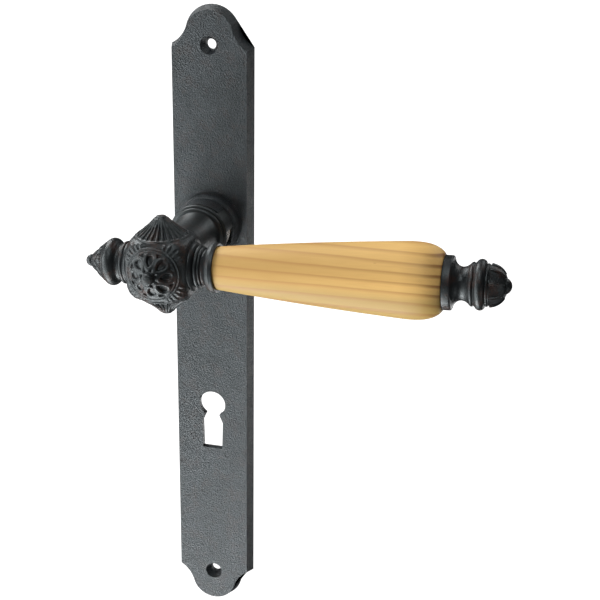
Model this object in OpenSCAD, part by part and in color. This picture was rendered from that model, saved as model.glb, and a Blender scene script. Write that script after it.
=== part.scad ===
// Door lever handle on a long cast-iron backplate, with a turned wood grip.
// The spindle axis runs along Y, into the door. The origin is where it crosses
// the door's surface, which the plate's back lies on. X runs along the lever
// and Z is up. Lengths are in millimetres and angles in degrees.

/* [Backplate] */
// Width of the plate's front face
plate_w = 34.2; // [31:0.2:44]
// Depth from the door to the front face
plate_depth = 5.8; // [5:0.1:8]
// Width of the rim round the hollow back
rim_w = 3.2; // [2:0.1:4]
// How far the sloping edge spreads from front to back
edge_draft = 1.8; // [0.2:0.1:3]
// Spindle centre up to the upper shoulders
top_reach = 78.2; // [60:0.2:110]
// Spindle centre down to the lower shoulders
bottom_reach = 179.8; // [150:0.2:220]
// Radius of the round lobe at each end
lobe_r = 10.8; // [9:0.1:12]
// Centre of each lobe beyond the shoulders
lobe_rise = 6.1; // [4:0.1:8]
// Radius of the coves between lobes and shoulders
cove_r = 14.5; // [12:0.1:18]

/* [Fixing holes] */
// Centre of each screw hole beyond the shoulders
screw_rise = 1.8; // [0:0.1:4]
// Radius of the screw holes
screw_r = 2.35; // [1.8:0.05:2.6]
// Radius of the countersinks at the front face
sink_r = 4.1; // [3.4:0.1:5]
// Depth of the countersinks
sink_depth = 3.2; // [1.5:0.1:4]

/* [Keyhole] */
// Spindle centre down to the keyhole's round centre
lock_centres = 90; // [72:0.5:110]
// Radius of the keyhole's round part
key_r = 6.4; // [5:0.1:7]
// Width of the narrow neck under the round part
key_neck_w = 6.4; // [5.6:0.1:8]
// Width of the slot at its shoulders
key_slot_w = 10.3; // [9:0.1:12]
// Width of the slot at its foot
key_foot_w = 9.6; // [8.4:0.1:11]
// Round centre down to the foot of the slot
key_drop = 23.1; // [18:0.1:26]

/* [Collar and spring cup] */
// How far the collar stands out round the spring cup
collar_step = 1.9; // [1:0.1:3]
// Height of the collar in front of the plate
collar_h = 7.2; // [6:0.1:10]
// Thickness of the cup's sheet
cup_wall = 1.2; // [0.8:0.1:1.4]
// Height of the cup in front of the collar
cup_h = 8.2; // [7.6:0.1:10]
// Upper edge of the cup's window, as an angle above the plate's right side
window_high = 50; // [46:1:60]
// Angle that the lever turns through
lever_travel = 35; // [25:1:45]
// Angle that the lever's stop lug fills in the window
lug_angle = 41; // [20:1:50]

/* [Bearing] */
// Radius of the lever's journal
journal_r = 8; // [7.4:0.05:8.2]
// Radial running clearance of the journal
running_gap = 0.06; // [0.03:0.01:0.1]
// Wall of the bush in the plate
bush_wall = 1.5; // [1.2:0.1:1.7]
// Thickness of the bush's front flange
bush_flange_t = 1; // [0.8:0.1:1.2]
// Width of the bush's front flange
bush_flange_w = 0.9; // [0.6:0.1:1.2]
// Thickness of the washer behind the plate
washer_t = 0.8; // [0.6:0.1:0.9]
// Thickness of the retaining ring
ring_t = 1; // [0.8:0.1:1.2]
// How far the retaining ring stays inside the plate's back
ring_cover = 0.85; // [0.6:0.05:1.2]

/* [Return spring] */
// Radius of the spring wire
wire_r = 0.65; // [0.5:0.05:0.7]
// Number of turns in the spring
spring_turns = 4.5; // [2:0.25:5]

/* [Spindle] */
// Width across the square spindle
spindle_w = 8; // [7:0.5:8]
// How far the spindle reaches behind the door's surface
spindle_out = 34; // [20:1:60]
// How far the spindle reaches in front of the plate
spindle_in = 33; // [28:0.5:36]

/* [Lever] */
// Distance from the door to the lever's axis
grip_out = 66; // [62:0.5:74]
// Upward slope of the lever at rest
rest_rise = 2.2; // [0:0.1:4]
// Radius of the neck at the hub
neck_r = 9.2; // [8.6:0.1:10]
// How much wider the neck is beside its flange
neck_flare = 1.6; // [0.8:0.1:2]
// Size of the hub along the lever
hub_x = 27; // [25:0.1:29]
// Radius of the flat seats on the hub's two ends
hub_seat_r = 9.65; // [8:0.05:10.5]
// Radius of the fluted cones on the hub
cone_r = 10.7; // [9:0.1:11.5]
// Height of the fluted cones above the hub's faces
cone_h = 8; // [6:0.1:10]
// Radius of the rosette on the hub's front
rosette_r = 10.2; // [9:0.1:11]
// Height of the rosette's button above the hub's front
rosette_h = 8.5; // [7:0.1:10]

/* [Grip] */
// Length of the ringed ferrule
ferrule_len = 8.8; // [7:0.1:11]
// Length of the wood grip
grip_len = 92.7; // [70:0.1:115]
// Radius of the grip's small end
grip_small_r = 8.75; // [8:0.05:9]
// Largest radius of the grip
grip_big_r = 15.4; // [13:0.1:18]
// Radius of the grip's far end
grip_end_r = 11.1; // [10.8:0.1:12]
// Length of the rounded shoulder at the far end
shoulder_len = 13.6; // [8:0.1:18]
// Radius of the rod that holds the lever together
rod_r = 3; // [2.5:0.1:3]

/* [Finials] */
// Length of the back finial
pommel_len = 20.7; // [17:0.1:25]
// Radius of the back finial's ring
pommel_r = 9.9; // [9:0.1:11]
// Length of the end finial beyond the grip
finial_len = 26.4; // [24:0.1:30]
// Radius of the end finial's disc
disc_r = 10.8; // [10:0.1:11]

/* [Hidden] */
$fn = 96;

cut = 1;                       // how far a cutter runs past what it cuts
fine = 32;                     // sides of small round details
fit_gap = 0.05;                // radial gap of pieces that push together
face_gap = 0.3;                // gap between faces that turn past each other

// Plate outline. The cove passes through the shoulder's corner and is tangent
// to the lobe, so its centre is where those two conditions meet.
half_w = plate_w / 2;
reach2 = pow(lobe_r + cove_r, 2);
lean = lobe_rise / half_w;
foot = (reach2 - pow(cove_r, 2) + pow(half_w, 2) - pow(lobe_rise, 2)) / (2 * half_w);
side = foot - half_w;
root = sqrt(pow(lean * side, 2) - (1 + lean * lean) * (side * side - cove_r * cove_r));
cove_z = (root - lean * side) / (1 + lean * lean);
cove_x = foot + lean * cove_z;
cove_steps = 8;
lobe_steps = 20;

screw_top = top_reach + screw_rise;
screw_bottom = bottom_reach + screw_rise;
boss_r = sink_r + 2.4;
washer_gap = 0.1;
ring_gap = 0.05;
pocket_depth = ring_cover + ring_t + ring_gap + washer_t + washer_gap;
key_neck_drop = 5;
key_flare_drop = 9.4;
key_relief_w = 1.6;

// Stations along the spindle axis, measured from the door's surface outwards.
collar_top = plate_depth + collar_h;
cup_floor = plate_depth + cup_wall;
cup_rim = collar_top + cup_h;
flange_back = cup_rim + face_gap;
bead_w = 1.9;
flange_front = flange_back + 2 * bead_w;
hub_y = hub_x - 2;
hub_z = hub_x - 1;
hub_back = grip_out - hub_y / 2;
web_back = pocket_depth;
bush_r = journal_r + running_gap + bush_wall;
bush_flange_r = bush_r + bush_flange_w;
washer_back = web_back - washer_gap - washer_t;
ring_back = ring_cover;
groove_r = journal_r - 0.75;
retainer_r = journal_r + 2.1;
washer_r = retainer_r + 1.1;
journal_end = ring_cover - 0.55;
socket_w = spindle_w + 0.15;
socket_end = plate_depth + spindle_in + 1;
screw_station = flange_front + 9;
grub_r = 2.5;

// Spring: its turns lie between the bush's flange and the lever's flange.
spring_gap = 0.15;
spring_r = bush_flange_r + spring_gap + wire_r;
spring_low = cup_floor + wire_r + spring_gap;
spring_high = flange_back - wire_r - spring_gap;
spring_start = 130;
spring_sides = 8;
spring_step = 15;
spring_leg = 2.4;

// The cup fits round the spring, the collar round the cup, and the flange over it.
cup_r = spring_r + wire_r + spring_gap + cup_wall;
collar_r = cup_r + collar_step;
flange_r = cup_r - 0.1;
flare_r = neck_r + neck_flare;

// Stop lug: it stands in the cup's window and meets the window's ends.
stop_play = 0.4;
lug_high = window_high - stop_play;
lug_low = lug_high - lug_angle;
window_low = lug_low - lever_travel - stop_play;

// Stations along the lever, measured from the spindle axis.
rod_bore = rod_r + 0.3;
collar_bead_r = 1.7;
collar_x = hub_x / 2 - 0.6;
ferrule_x = collar_x + collar_bead_r + 0.1;
ferrule_end = ferrule_x + ferrule_len;
grip_start = ferrule_end - 0.6;
recess_t = 1.2;
cup_lip_r = grip_small_r + 1.65;
grip_end = grip_start + grip_len;
finial_start = grip_end + 0.1;
tip_ball_r = 3.4;
pommel_neck_r = 8.6;
pommel_reach = hub_x / 2 + pommel_len;
hub_ball_r = sqrt(pow(hub_x / 2, 2) + pow(hub_seat_r, 2));
cone_tip = hub_z / 2 + cone_h;
rosette_tip = hub_y / 2 + rosette_h;

plate_grey = [0.29, 0.3, 0.32];
cast_black = [0.15, 0.15, 0.16];
steel = [0.72, 0.72, 0.7];
bronze = [0.68, 0.5, 0.28];
pine = [0.85, 0.68, 0.42];
fibre = [0.35, 0.14, 0.09];

// Turns a shape's Z axis to point out of the door along the spindle axis.
module on_spindle() {
    rotate([90, 0, 0]) children();
}

// Places a shape in the lever's own frame, at the hub's centre.
module on_lever() {
    translate([0, -grip_out, 0]) rotate([0, -rest_rise, 0]) children();
}

// Turns a profile (radius, station) about the lever's long axis.
module turned() {
    rotate([0, 90, 0]) rotate_extrude() children();
}

// A flat ring or tube with its axis along Z.
module tube(r_out, r_in, from, to) {
    translate([0, 0, from]) difference() {
        cylinder(r = r_out, h = to - from);
        translate([0, 0, -cut]) cylinder(r = r_in, h = to - from + 2 * cut);
    }
}

// Points of an arc, both ends included.
function arc(cx, cy, r, from, to, steps) =
    [for (i = [0:steps]) let (a = from + (to - from) * i / steps)
        [cx + r * cos(a), cy + r * sin(a)]];

// One end of the plate from its right corner to its left, spread outwards by t.
// The heights are measured from the shoulder line.
function plate_end(t) =
    let (
        corner = asin(-sqrt(1 - pow((cove_x - half_w - t) / (cove_r - t), 2))),
        from = -180 - corner,
        to = 180 + atan2(cove_z - lobe_rise, cove_x),
        join = atan2(cove_z - lobe_rise, cove_x),
        cove = arc(cove_x, cove_z, cove_r - t, from + 360, to, cove_steps),
        lobe = arc(0, lobe_rise, lobe_r + t, join, 180 - join, lobe_steps),
        inner = [for (i = [1:lobe_steps - 1]) lobe[i]],
        mirrored = [for (i = [cove_steps:-1:0]) [-cove[i][0], cove[i][1]]]
    )
    concat(cove, inner, mirrored);

// The whole outline, anticlockwise seen from the front.
function plate_outline(t) = concat(
    [for (p = plate_end(t)) [p[0], p[1] + top_reach]],
    [for (p = plate_end(t)) [-p[0], -p[1] - bottom_reach]]
);

// The solid plate with its sloping edge.
module plate_blank() {
    back = plate_outline(edge_draft);
    front = plate_outline(0);
    n = len(front);
    points = concat([for (p = back) [p[0], 0, p[1]]], [for (p = front) [p[0], -plate_depth, p[1]]]);
    walls = [for (i = [0:n - 1]) let (k = (i + 1) % n) [i, k, n + k, n + i]];
    faces = concat([[for (i = [n - 1:-1:0]) i]], [[for (i = [0:n - 1]) n + i]], walls);
    polyhedron([for (p = points) p], [for (f = faces) [for (i = [len(f) - 1:-1:0]) f[i]]]);
}

module screw_hole(z) {
    translate([0, 0, z]) on_spindle() {
        translate([0, 0, -cut]) cylinder(r = screw_r, h = plate_depth + 2 * cut, $fn = fine);
        translate([0, 0, plate_depth - sink_depth])
            cylinder(r1 = screw_r, r2 = sink_r, h = sink_depth);
        translate([0, 0, plate_depth]) cylinder(r = sink_r, h = cut);
    }
}

module keyhole() {
    translate([0, 0, -lock_centres]) on_spindle() translate([0, 0, -cut]) {
        cylinder(r = key_r, h = plate_depth + 2 * cut);
        linear_extrude(plate_depth + 2 * cut) polygon([
            [-key_neck_w / 2, 0], [-key_neck_w / 2, -key_neck_drop],
            [-key_slot_w / 2, -key_flare_drop], [-key_foot_w / 2, -key_drop],
            [key_foot_w / 2, -key_drop], [key_slot_w / 2, -key_flare_drop],
            [key_neck_w / 2, -key_neck_drop], [key_neck_w / 2, 0]
        ]);
    }
}

// The island is cut back round the keyhole, so that the hole's wall is thin.
module key_relief() {
    slot_w = key_slot_w + 2 * key_relief_w;
    translate([0, 0, -lock_centres]) on_spindle() translate([0, 0, -cut]) {
        cylinder(r = key_r + key_relief_w, h = pocket_depth + cut);
        translate([-slot_w / 2, -key_drop - key_relief_w, 0])
            cube([slot_w, key_drop + key_relief_w, pocket_depth + cut]);
    }
}

// The hollow back: one long recess on each side of the keyhole's island.
module back_pocket() {
    pocket_w = plate_w - 2 * rim_w;
    island_top = -lock_centres + key_r + rim_w;
    island_foot = -lock_centres - key_drop - rim_w;
    for (span = [[island_top, screw_top - boss_r], [-screw_bottom + boss_r, island_foot]])
        translate([-pocket_w / 2, -pocket_depth, span[0]])
            cube([pocket_w, pocket_depth + cut, span[1] - span[0]]);
    on_spindle() translate([0, 0, -cut]) cylinder(r = washer_r + face_gap, h = pocket_depth + cut);
}

module collar_profile() {
    round_r = 3.2;
    shelf_r = collar_r - round_r + 1.2;
    translate([0, plate_depth - 0.5]) square([collar_r - 0.4, 1.1]);
    translate([0, plate_depth - 0.5]) square([shelf_r, collar_h + 0.5]);
    translate([0, plate_depth - 0.5]) square([collar_r - 0.6, collar_h + 0.5 - round_r]);
    translate([collar_r - 0.6 - round_r, collar_top - round_r]) circle(r = round_r);
}

module backplate() {
    color(plate_grey) difference() {
        union() {
            plate_blank();
            on_spindle() rotate_extrude() intersection() {
                collar_profile();
                translate([0, 0]) square([collar_r, collar_top]);
            }
        }
        back_pocket();
        screw_hole(screw_top);
        screw_hole(-screw_bottom);
        keyhole();
        key_relief();
        on_spindle() translate([0, 0, -cut]) cylinder(r = bush_r, h = collar_top + 2 * cut);
        on_spindle() translate([0, 0, plate_depth]) cylinder(r = cup_r + fit_gap, h = collar_h + cut);
        on_spindle() rotate([0, 0, spring_start]) translate([spring_r, 0, cup_floor - spring_leg - 0.3])
            cylinder(r = wire_r + 0.1, h = spring_leg + cut, $fn = fine);
    }
}

module neck_bush() {
    color(bronze) on_spindle() difference() {
        union() {
            translate([0, 0, web_back]) cylinder(r = bush_r, h = cup_floor - web_back);
            translate([0, 0, cup_floor]) cylinder(r = bush_flange_r, h = bush_flange_t);
        }
        translate([0, 0, -cut]) cylinder(r = journal_r + running_gap, h = flange_back);
    }
}

// A wedge about the spindle axis, from one angle to the other.
module wedge(low, high, height) {
    linear_extrude(height) polygon(concat([[0, 0]], arc(0, 0, 2 * cup_r, low, high, 6)));
}

module spring_cup() {
    color(plate_grey) on_spindle() difference() {
        translate([0, 0, plate_depth]) cylinder(r = cup_r, h = cup_rim - plate_depth);
        translate([0, 0, cup_floor]) cylinder(r = cup_r - cup_wall, h = cup_rim);
        translate([0, 0, plate_depth - cut]) cylinder(r = bush_r, h = cup_rim);
        translate([0, 0, collar_top]) wedge(window_low, window_high, cup_h + cut);
        rotate([0, 0, spring_start]) translate([spring_r, 0, plate_depth - cut])
            cylinder(r = wire_r + 0.1, h = 2 * cut + cup_wall, $fn = fine);
    }
}

// A tube of wire through a list of [centre, direction] rings.
module wire(path) {
    n = len(path);
    points = [for (p = path) for (k = [0:spring_sides - 1]) let (
        a = 360 * k / spring_sides,
        d = p[1] / norm(p[1]),
        u = p[2],
        v = cross(d, u)
    ) p[0] + wire_r * (cos(a) * u + sin(a) * v)];
    skin = [for (i = [0:n - 2]) for (k = [0:spring_sides - 1]) let (
        j = (k + 1) % spring_sides,
        lo = i * spring_sides,
        hi = lo + spring_sides
    ) [lo + k, hi + k, hi + j, lo + j]];
    start_cap = [for (k = [0:spring_sides - 1]) k];
    end_cap = [for (k = [spring_sides - 1:-1:0]) (n - 1) * spring_sides + k];
    polyhedron(points, concat(skin, [start_cap], [end_cap]));
}

module return_spring() {
    count = floor(360 * spring_turns / spring_step);
    climb = (spring_high - spring_low) / (360 * spring_turns);
    coil = [for (i = [0:count]) let (t = i * spring_step, a = spring_start - t)
        [[spring_r * cos(a), spring_r * sin(a), spring_low + climb * t],
         [sin(a), -cos(a), 0], [cos(a), sin(a), 0]]];
    color(steel) on_spindle() {
        wire(coil);
        rotate([0, 0, spring_start]) translate([spring_r, 0, cup_floor - spring_leg])
            cylinder(r = wire_r * 0.98, h = spring_leg + spring_low - cup_floor, $fn = fine);
        rotate([0, 0, spring_start - count * spring_step]) translate([spring_r, 0, spring_high])
            cylinder(r = wire_r * 0.98, h = spring_leg + flange_back - spring_high, $fn = fine);
    }
}

module thrust_washer() {
    color(steel) on_spindle()
        tube(washer_r, journal_r + running_gap, washer_back, washer_back + washer_t);
}

// An open retaining ring that sits in the journal's groove.
module retaining_ring() {
    color(steel) on_spindle() difference() {
        tube(retainer_r, groove_r + fit_gap, ring_back, ring_back + ring_t);
        translate([-2.5, -retainer_r - cut, ring_back - cut]) cube([5, retainer_r + cut, ring_t + 2 * cut]);
    }
}

module spindle() {
    color(steel) on_spindle() translate([-spindle_w / 2, -spindle_w / 2, -spindle_out])
        cube([spindle_w, spindle_w, spindle_out + plate_depth + spindle_in]);
}

module grub_screw() {
    top = -spindle_w / 2;
    foot_z = -neck_r + 0.4;
    color(steel) translate([0, -screw_station, foot_z]) difference() {
        cylinder(r = grub_r - fit_gap, h = top - foot_z, $fn = fine);
        translate([0, 0, -cut]) cylinder(r = 1.25, h = 2.4 + cut, $fn = 6);
    }
}

// The neck: a journal, a beaded flange and a trumpet that narrows to the hub.
module neck_solid() {
    flare = 14;
    drop = flare_r - neck_r;
    rotate_extrude() {
        translate([0, journal_end]) square([journal_r, flange_back - journal_end + cut]);
        translate([0, flange_back]) square([flange_r - bead_w / 2, bead_w]);
        translate([0, flange_back]) square([flange_r - bead_w / 2 - 1, 2 * bead_w]);
        translate([flange_r - bead_w / 2, flange_back + bead_w / 2]) circle(r = bead_w / 2, $fn = fine);
        translate([flange_r - bead_w / 2 - 1, flange_back + 1.5 * bead_w]) circle(r = bead_w / 2, $fn = fine);
        polygon(concat(
            [[0, flange_front - cut], [flare_r, flange_front - cut]],
            [for (i = [0:6]) let (u = i / 6) [neck_r + drop * pow(1 - u, 2), flange_front + flare * u]],
            [[neck_r, hub_back + 3], [0, hub_back + 3]]
        ));
    }
}

// The part of the flange's edge that stands in the cup's window.
module stop_lug() {
    base = collar_top + face_gap;
    intersection() {
        tube(cup_r - 0.1, cup_r - cup_wall + fit_gap, base, flange_back + cut);
        translate([0, 0, base - cut]) wedge(lug_low, lug_high, cup_h + cut);
    }
}

// A limpet-shaped cone on the hub, its axis along Z.
module hub_cone() {
    base = hub_z / 2 - 0.6;
    tip_r = 2.4;
    rotate_extrude() polygon([
        [0, base - 2], [cone_r, base - 2], [cone_r, base + 0.5],
        [cone_r * 0.62, base + 3.6], [tip_r, cone_tip - 0.6], [tip_r - 0.8, cone_tip], [0, cone_tip]
    ]);
}

module rosette() {
    front = hub_y / 2;
    button_r = 2.4;
    rotate_extrude() {
        square([rosette_r + 0.6, front - 0.6]);
        square([rosette_r, front + 1.2]);
        square([rosette_r - 1.2, front + 3]);
        square([5.2, front + 5]);
        square([button_r - 0.1, rosette_tip - 2]);
        intersection() {
            translate([0, rosette_tip - button_r]) circle(r = button_r, $fn = fine);
            translate([0, rosette_tip - 4]) square([4, 4]);
        }
    }
}

module hub_block() {
    intersection() {
        translate([-hub_x / 2, -hub_y / 2, -hub_z / 2]) cube([hub_x, hub_y, hub_z]);
        sphere(r = hub_ball_r);
    }
}

module hub_collar() {
    turned() {
        translate([0, 8]) square([9, ferrule_x - 9.2]);
        translate([0, 8]) square([8.4, ferrule_x - 8]);
        translate([8.5, collar_x]) circle(r = collar_bead_r, $fn = fine);
    }
}

module lever_hub() {
    color(cast_black) difference() {
        union() {
            on_spindle() {
                neck_solid();
                stop_lug();
            }
            on_lever() {
                hub_block();
                hub_cone();
                mirror([0, 0, 1]) hub_cone();
                on_spindle() rosette();
                hub_collar();
            }
        }
        on_lever() rotate([0, 90, 0]) translate([0, 0, -hub_x]) cylinder(r = rod_r + 0.1, h = 2 * hub_x, $fn = fine);
        translate([-socket_w / 2, -socket_end, -socket_w / 2]) cube([socket_w, socket_end + cut, socket_w]);
        translate([0, -screw_station, -flange_r]) cylinder(r = grub_r, h = flange_r, $fn = fine);
        on_spindle() tube(journal_r + cut, groove_r, ring_back - 0.05, ring_back + ring_t + 0.05);
        on_spindle() rotate([0, 0, spring_start - 360 * spring_turns])
            translate([spring_r, 0, flange_back - cut])
            cylinder(r = wire_r + 0.2, h = spring_leg + 0.3 + cut, $fn = fine);
    }
}

// Threaded into both finials, it pulls the whole lever together.
module tie_rod() {
    from = -hub_x / 2 - 11;
    color(steel) on_lever() rotate([0, 90, 0]) translate([0, 0, from])
        cylinder(r = rod_r, h = grip_end + 9 - from, $fn = fine);
}

module back_finial() {
    seat = hub_x / 2;
    ring_at = seat + 9;
    tip_r = 2.9;
    color(cast_black) on_lever() mirror([1, 0, 0]) turned() difference() {
        union() {
            translate([0, seat]) square([pommel_neck_r, 6]);
            translate([pommel_r - 2.6, ring_at]) circle(r = 2.6, $fn = fine);
            translate([0, ring_at - 2.6]) square([pommel_r - 2.6, 5.2]);
            polygon([
                [0, ring_at], [pommel_r - 1.9, ring_at + 1.6],
                [tip_r * 0.86, pommel_reach - tip_r * 0.5], [0, pommel_reach - tip_r * 0.5]
            ]);
            intersection() {
                translate([0, pommel_reach - tip_r]) circle(r = tip_r, $fn = fine);
                translate([0, pommel_reach - 2 * tip_r]) square(2 * tip_r);
            }
        }
        translate([0, seat - cut]) square([rod_r, 11 + cut]);
    }
}

module ferrule() {
    function at(share) = ferrule_x + share * ferrule_len;
    color(cast_black) on_lever() turned() difference() {
        union() {
            translate([0, ferrule_x]) square([8.6, 0.2 * ferrule_len]);
            polygon([
                [0, at(0.2)], [7.8, at(0.2)], [7.4, at(0.38)], [8, at(0.55)],
                [cup_lip_r - 0.8, at(0.7)], [cup_lip_r, at(0.84)], [cup_lip_r, at(0.98)],
                [cup_lip_r - 0.2, ferrule_end], [0, ferrule_end]
            ]);
        }
        translate([0, ferrule_x - cut]) square([rod_r + 0.1, 20]);
        translate([0, ferrule_end - recess_t]) square([grip_small_r + 0.35, recess_t + cut]);
    }
}

module grip_washer() {
    color(fibre) on_lever() rotate([0, 90, 0])
        tube(grip_small_r, rod_bore, ferrule_end - recess_t, grip_start);
}

// Radius of the grip at a share u of its taper.
function taper_r(u) = grip_small_r + (grip_big_r - grip_small_r) * (u + 0.28 * u * (1 - u));

// Radius of the grip at a share u of its rounded shoulder.
function shoulder_r(u) = grip_end_r + (grip_big_r - grip_end_r) * pow(1 - pow(u, 3), 0.75);

module wood_grip() {
    taper_len = grip_len - shoulder_len;
    taper = [for (i = [0:12]) [taper_r(i / 12), grip_start + taper_len * i / 12]];
    shoulder = [for (i = [1:10]) let (u = sin(9 * i)) [shoulder_r(u), grip_start + taper_len + shoulder_len * u]];
    color(pine) on_lever() turned() difference() {
        polygon(concat([[0, grip_start]], taper, shoulder, [[0, grip_end]]));
        translate([0, grip_start - cut]) square([rod_bore, grip_len + 2 * cut]);
    }
}

module lock_washer() {
    color(steel) on_lever() rotate([0, 90, 0]) tube(6, rod_bore, grip_end, grip_end + 1.1);
}

module end_finial() {
    end = grip_end + finial_len;
    bud = finial_start + 17.8;
    color(cast_black) on_lever() turned() difference() {
        union() {
            translate([0, finial_start]) square([disc_r, 3.4]);
            polygon([
                [0, finial_start + 3.4], [disc_r - 0.4, finial_start + 3.4],
                [8.2, finial_start + 4.6], [6.9, finial_start + 6], [6.6, finial_start + 7.2],
                [6.9, finial_start + 8.6], [8, finial_start + 10], [8.7, finial_start + 10.4],
                [8.7, finial_start + 12], [0, finial_start + 12]
            ]);
            translate([7.9, finial_start + 14.4]) circle(r = 2.1, $fn = fine);
            translate([0, finial_start + 11.5]) square([8.4, 6]);
            polygon(concat([[0, bud - 1]], arc(0, bud, 7.9, 0, 60, 6), [[0, bud + 6.6]]));
            intersection() {
                translate([0, end - tip_ball_r]) circle(r = tip_ball_r, $fn = fine);
                translate([0, end - 2 * tip_ball_r]) square(2 * tip_ball_r);
            }
        }
        translate([0, finial_start - cut]) square([rod_r, 9 + cut]);
        translate([0, finial_start - cut]) square([6.3, 1 + cut]);
    }
}

backplate();
neck_bush();
spring_cup();
return_spring();
thrust_washer();
retaining_ring();
lever_hub();
spindle();
grub_screw();
tie_rod();
back_finial();
ferrule();
grip_washer();
wood_grip();
lock_washer();
end_finial();
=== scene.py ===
import math

import bmesh
import bpy
import numpy as np
from mathutils import Matrix, Vector


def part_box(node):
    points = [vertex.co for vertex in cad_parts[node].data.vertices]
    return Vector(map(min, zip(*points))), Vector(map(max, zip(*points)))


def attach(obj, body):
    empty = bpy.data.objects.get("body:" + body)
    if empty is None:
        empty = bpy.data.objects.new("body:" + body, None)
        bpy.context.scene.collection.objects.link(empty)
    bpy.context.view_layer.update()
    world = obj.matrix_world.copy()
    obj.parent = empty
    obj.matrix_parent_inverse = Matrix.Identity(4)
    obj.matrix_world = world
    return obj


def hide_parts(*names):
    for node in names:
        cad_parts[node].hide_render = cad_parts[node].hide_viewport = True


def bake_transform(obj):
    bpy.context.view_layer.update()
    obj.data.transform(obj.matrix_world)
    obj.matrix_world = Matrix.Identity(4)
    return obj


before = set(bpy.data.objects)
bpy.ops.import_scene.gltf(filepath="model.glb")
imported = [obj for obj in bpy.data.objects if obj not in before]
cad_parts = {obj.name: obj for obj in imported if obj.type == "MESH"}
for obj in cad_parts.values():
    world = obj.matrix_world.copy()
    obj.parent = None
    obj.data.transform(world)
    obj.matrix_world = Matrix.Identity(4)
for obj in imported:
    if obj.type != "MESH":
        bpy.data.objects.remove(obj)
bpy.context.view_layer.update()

MM = 0.001
TINY = 1e-6

# How far the grip rises above level at rest.
REST_RISE = math.radians(2.2)


# ---------------------------------------------------------------- camera

CAMERA_AT = Vector((0.181715, -0.547445, 0.177241))
CAMERA_TURN = math.radians(14.436)
CAMERA_FORWARD = Vector((-0.23342, 0.90675, -0.35116)).normalized()
CAMERA_ROLL = math.radians(0.881)
LENS = 79.13


def set_camera():
    """The camera stands to the right of the handle and looks a little down on it."""
    across = Vector((math.cos(CAMERA_TURN), math.sin(CAMERA_TURN), 0))
    upward = across.cross(CAMERA_FORWARD)
    right = across * math.cos(CAMERA_ROLL) + upward * math.sin(CAMERA_ROLL)
    up = upward * math.cos(CAMERA_ROLL) - across * math.sin(CAMERA_ROLL)
    data = bpy.data.cameras.new("view")
    data.lens = LENS
    data.sensor_width = 36
    data.clip_start = 0.01
    data.clip_end = 20
    camera = bpy.data.objects.new("view", data)
    turn = Matrix((right, up, -CAMERA_FORWARD)).transposed().to_4x4()
    camera.matrix_world = Matrix.Translation(CAMERA_AT) @ turn
    bpy.context.scene.collection.objects.link(camera)
    bpy.context.scene.camera = camera


# ---------------------------------------------------------------- node trees


class Wire:
    """A value, vector or colour inside a node tree. Arithmetic on a value adds its Math nodes."""

    def __init__(self, graph, out):
        self.graph = graph
        self.out = out

    def _maths(self, operation, *terms):
        return self.graph.node("ShaderNodeMath", {"operation": operation}, dict(enumerate(terms)))

    def __add__(self, other):
        return self._maths("ADD", self, other)

    __radd__ = __add__

    def __sub__(self, other):
        return self._maths("SUBTRACT", self, other)

    def __rsub__(self, other):
        return self._maths("SUBTRACT", other, self)

    def __mul__(self, other):
        return self._maths("MULTIPLY", self, other)

    __rmul__ = __mul__

    def __truediv__(self, other):
        return self._maths("DIVIDE", self, other)

    def __pow__(self, other):
        return self._maths("POWER", self, other)


class Graph:
    """A node tree that is filled by node(), one node for each call."""

    def __init__(self, tree):
        self.tree = tree

    def node(self, kind, settings=None, values=None, out=0):
        made = self.tree.nodes.new(kind)
        for key, value in (settings or {}).items():
            if key == "stops":
                self._set_stops(made.color_ramp, value)
            else:
                setattr(made, key, value)
        for key, value in (values or {}).items():
            if isinstance(value, Wire):
                self.tree.links.new(value.out, made.inputs[key])
            else:
                made.inputs[key].default_value = value
        return Wire(self, made.outputs[out])

    @staticmethod
    def _set_stops(ramp, stops):
        while len(ramp.elements) < len(stops):
            ramp.elements.new(0.5)
        for element, (position, colour) in zip(ramp.elements, stops):
            element.position = position
            element.color = (*colour, 1)


class Finish(Graph):
    """One material: fixed settings on the shader's own sockets, and what varies linked in."""

    def __init__(self, name, fixed):
        self.material = bpy.data.materials.new(name)
        self.material.use_nodes = True
        super().__init__(self.material.node_tree)
        self.shader = self.tree.nodes["Principled BSDF"]
        for key, value in fixed.items():
            self.shader.inputs[key].default_value = value

    def place(self):
        return self.node("ShaderNodeTexCoord", out="Object")

    def noise(self, place, scale, detail=2, roughness=0.5, distortion=0):
        values = {"Vector": place, "Scale": scale, "Detail": detail}
        values |= {"Roughness": roughness, "Distortion": distortion}
        return self.node("ShaderNodeTexNoise", None, values)

    def cells(self, place, scale):
        values = {"Vector": place, "Scale": scale, "Smoothness": 1.0}
        return self.node("ShaderNodeTexVoronoi", {"feature": "SMOOTH_F1"}, values)

    def stretched(self, place, scale):
        """A place squeezed by scale along each axis, which draws a pattern out by as much."""
        return self.node("ShaderNodeMapping", None, {"Vector": place, "Scale": scale})

    def ramp(self, value, low, high, start=0.0, end=1.0):
        """value from low to high, eased and clamped, as start to end."""
        values = {"Value": value, 1: low, 2: high, 3: start, 4: end}
        return self.node("ShaderNodeMapRange", {"interpolation_type": "SMOOTHSTEP"}, values)

    def mix(self, factor, first, second):
        settings = {"data_type": "RGBA"}
        values = {0: factor, 6: solid(first), 7: solid(second)}
        return self.node("ShaderNodeMix", settings, values, out=2)

    def bump(self, height, depth, normal=None):
        values = {"Height": height, "Strength": 1.0, "Distance": depth}
        if normal is not None:
            values["Normal"] = normal
        return self.node("ShaderNodeBump", None, values)

    def feed(self, **links):
        for key, wire in links.items():
            self.tree.links.new(wire.out, self.shader.inputs[key.replace("_", " ")])
        return self.material


def solid(colour):
    """A colour of three numbers gets its alpha; a wire stays as it is."""
    return colour if isinstance(colour, Wire) else (*colour, 1)


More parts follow.
